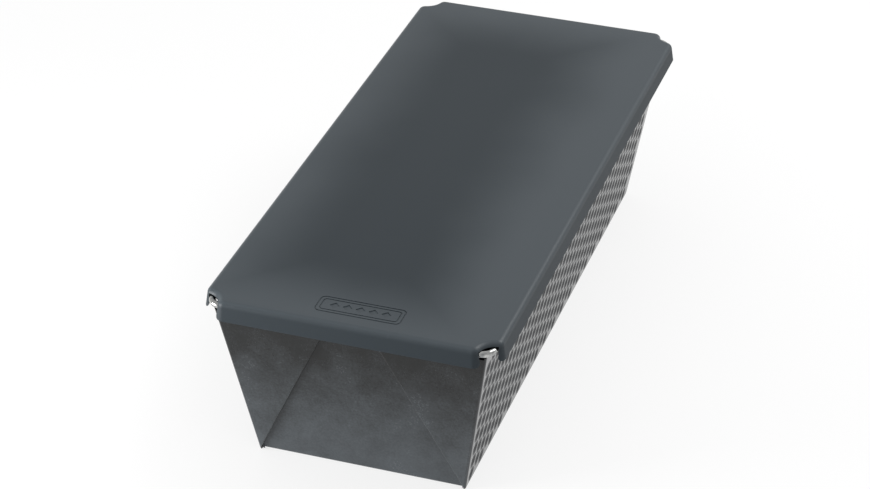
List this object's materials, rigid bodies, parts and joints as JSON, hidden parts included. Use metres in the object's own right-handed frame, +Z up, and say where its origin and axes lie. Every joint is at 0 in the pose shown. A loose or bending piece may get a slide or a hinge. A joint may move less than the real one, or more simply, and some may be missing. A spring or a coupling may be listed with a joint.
{
  "type": "lidded loaf pan",
  "caption": "Tapered folded-sheet loaf pan with doubled end corners, a wire rolled into its rim and a flat drop-on lid with cut-out corners.",
  "frame": {"origin": "middle of the pan's flat underside", "axes": "+X across the width, +Y along the length, +Z up; the end wall at -Y is the front"},
  "size_m": [0.1352, 0.304, 0.0861],
  "materials": {
    "pan_steel": "baked-on dark satin coating, faintly mottled, on cold-rolled steel sheet",
    "wire_steel": "bright drawn steel wire",
    "lid_steel": "smooth dark satin coating on cold-rolled steel sheet"
  },
  "bodies": {
    "pan": {"pan_body": "pan_steel", "rim_wire": "wire_steel"},
    "lid": {"lid": "lid_steel"}
  },
  "joints": [
    {"name": "lid_lift", "type": "slide", "parent": "pan", "child": "lid", "axis": [0, 0, 1], "range_m": [0, 0.1]}
  ]
}
